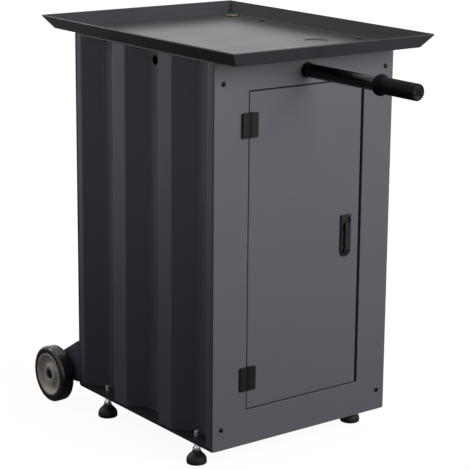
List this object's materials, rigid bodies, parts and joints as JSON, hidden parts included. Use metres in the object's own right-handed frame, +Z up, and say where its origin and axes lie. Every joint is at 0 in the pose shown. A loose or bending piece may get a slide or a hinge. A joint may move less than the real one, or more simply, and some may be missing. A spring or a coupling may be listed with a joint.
{
  "type": "machine stand",
  "caption": "Corrugated sheet-steel machine stand with a flared drip tray, latched door, pull-out handle, rear wheels and levelling feet.",
  "frame": {"origin": "on the floor under the middle of the whole stand, handle and wheels included", "axes": "+Z up, -Y towards the door and the handle, +X to the right seen from the front"},
  "size_m": [0.512, 0.9266, 0.8412],
  "materials": {
    "anthracite_paint": "satin anthracite powder coat",
    "black_enamel": "satin black enamel",
    "black_cast_metal": "black coated zinc casting",
    "black_plastic": "fine-grained black nylon",
    "black_rubber": "matte black rubber",
    "tyre_rubber": "smooth black tyre rubber",
    "grey_plastic": "warm grey moulded nylon",
    "black_screw_steel": "black oxide",
    "zinc_steel": "bright zinc plate",
    "brass": "turned brass"
  },
  "bodies": {
    "stand": {"base_plate": "anthracite_paint", "top_plate": "anthracite_paint", "left_side_panel": "anthracite_paint", "right_side_panel": "anthracite_paint", "back_panel": "anthracite_paint", "front_panel": "anthracite_paint", "tray": "anthracite_paint", "handle_guide_bracket": "anthracite_paint", "left_wheel_bracket": "anthracite_paint", "right_wheel_bracket": "anthracite_paint", "upper_hinge_frame_leaf": "black_cast_metal", "lower_hinge_frame_leaf": "black_cast_metal", "handle_bush": "black_plastic", "tray_screw_front_left": "black_screw_steel", "tray_screw_front_right": "black_screw_steel", "tray_screw_rear_left": "black_screw_steel", "tray_screw_rear_right": "black_screw_steel", "front_panel_screw_lower_left": "black_screw_steel", "front_panel_screw_lower_right": "black_screw_steel", "front_panel_screw_upper_left": "black_screw_steel", "front_panel_screw_upper_right": "black_screw_steel", "left_axle_bolt": "black_screw_steel", "right_axle_bolt": "black_screw_steel", "upper_hinge_pin": "black_screw_steel", "lower_hinge_pin": "black_screw_steel", "left_axle_nut": "zinc_steel", "left_wheel_spacer": "zinc_steel", "right_axle_nut": "zinc_steel", "right_wheel_spacer": "zinc_steel", "front_left_foot_lock_nut": "zinc_steel", "front_right_foot_lock_nut": "zinc_steel", "rear_left_foot_lock_nut": "zinc_steel", "rear_right_foot_lock_nut": "zinc_steel", "drain_fitting": "brass", "drain_nut": "brass"},
    "door": {"door": "anthracite_paint", "upper_hinge_door_leaf": "black_cast_metal", "lower_hinge_door_leaf": "black_cast_metal", "latch_housing": "black_plastic"},
    "latch": {"latch_spindle": "black_cast_metal", "latch_lever_pin": "zinc_steel", "latch_cam": "zinc_steel", "latch_cam_nut": "zinc_steel"},
    "latch_lever": {"latch_lever": "black_plastic"},
    "handle": {"handle_tube": "black_enamel", "handle_grip": "black_rubber", "handle_stop_ring": "zinc_steel"},
    "left_wheel": {"left_wheel_tyre": "tyre_rubber", "left_wheel_hub": "grey_plastic"},
    "right_wheel": {"right_wheel_tyre": "tyre_rubber", "right_wheel_hub": "grey_plastic"},
    "front_left_foot": {"front_left_foot_pad": "black_rubber", "front_left_foot_stud": "zinc_steel"},
    "front_right_foot": {"front_right_foot_pad": "black_rubber", "front_right_foot_stud": "zinc_steel"},
    "rear_left_foot": {"rear_left_foot_pad": "black_rubber", "rear_left_foot_stud": "zinc_steel"},
    "rear_right_foot": {"rear_right_foot_pad": "black_rubber", "rear_right_foot_stud": "zinc_steel"}
  },
  "joints": [
    {"name": "door_swing", "type": "hinge", "parent": "stand", "child": "door", "pos_m": [-0.13875, -0.15685, 0.437], "axis": [0, 0, -1], "range_deg": [0, 110]},
    {"name": "latch_turn", "type": "hinge", "parent": "door", "child": "latch", "pos_m": [0.1039, -0.15325, 0.4087], "axis": [0, -1, 0], "range_deg": [0, 90]},
    {"name": "lever_lift", "type": "hinge", "parent": "latch", "child": "latch_lever", "pos_m": [0.1039, -0.16085, 0.4122], "axis": [1, 0, 0], "range_deg": [0, 45]},
    {"name": "handle_slide", "type": "slide", "parent": "stand", "child": "handle", "axis": [0, 1, 0], "range_m": [0, 0.2]},
    {"name": "left_wheel_spin", "type": "hinge", "parent": "stand", "child": "left_wheel", "pos_m": [-0.241, 0.40225, 0.0618], "axis": [1, 0, 0], "continuous": true},
    {"name": "right_wheel_spin", "type": "hinge", "parent": "stand", "child": "right_wheel", "pos_m": [0.241, 0.40225, 0.0618], "axis": [1, 0, 0], "continuous": true},
    {"name": "front_left_foot_adjust", "type": "slide", "parent": "stand", "child": "front_left_foot", "axis": [0, 0, -1], "range_m": [0, 0.012]},
    {"name": "front_right_foot_adjust", "type": "slide", "parent": "stand", "child": "front_right_foot", "axis": [0, 0, -1], "range_m": [0, 0.012]},
    {"name": "rear_left_foot_adjust", "type": "slide", "parent": "stand", "child": "rear_left_foot", "axis": [0, 0, -1], "range_m": [0, 0.012]},
    {"name": "rear_right_foot_adjust", "type": "slide", "parent": "stand", "child": "rear_right_foot", "axis": [0, 0, -1], "range_m": [0, 0.012]}
  ]
}
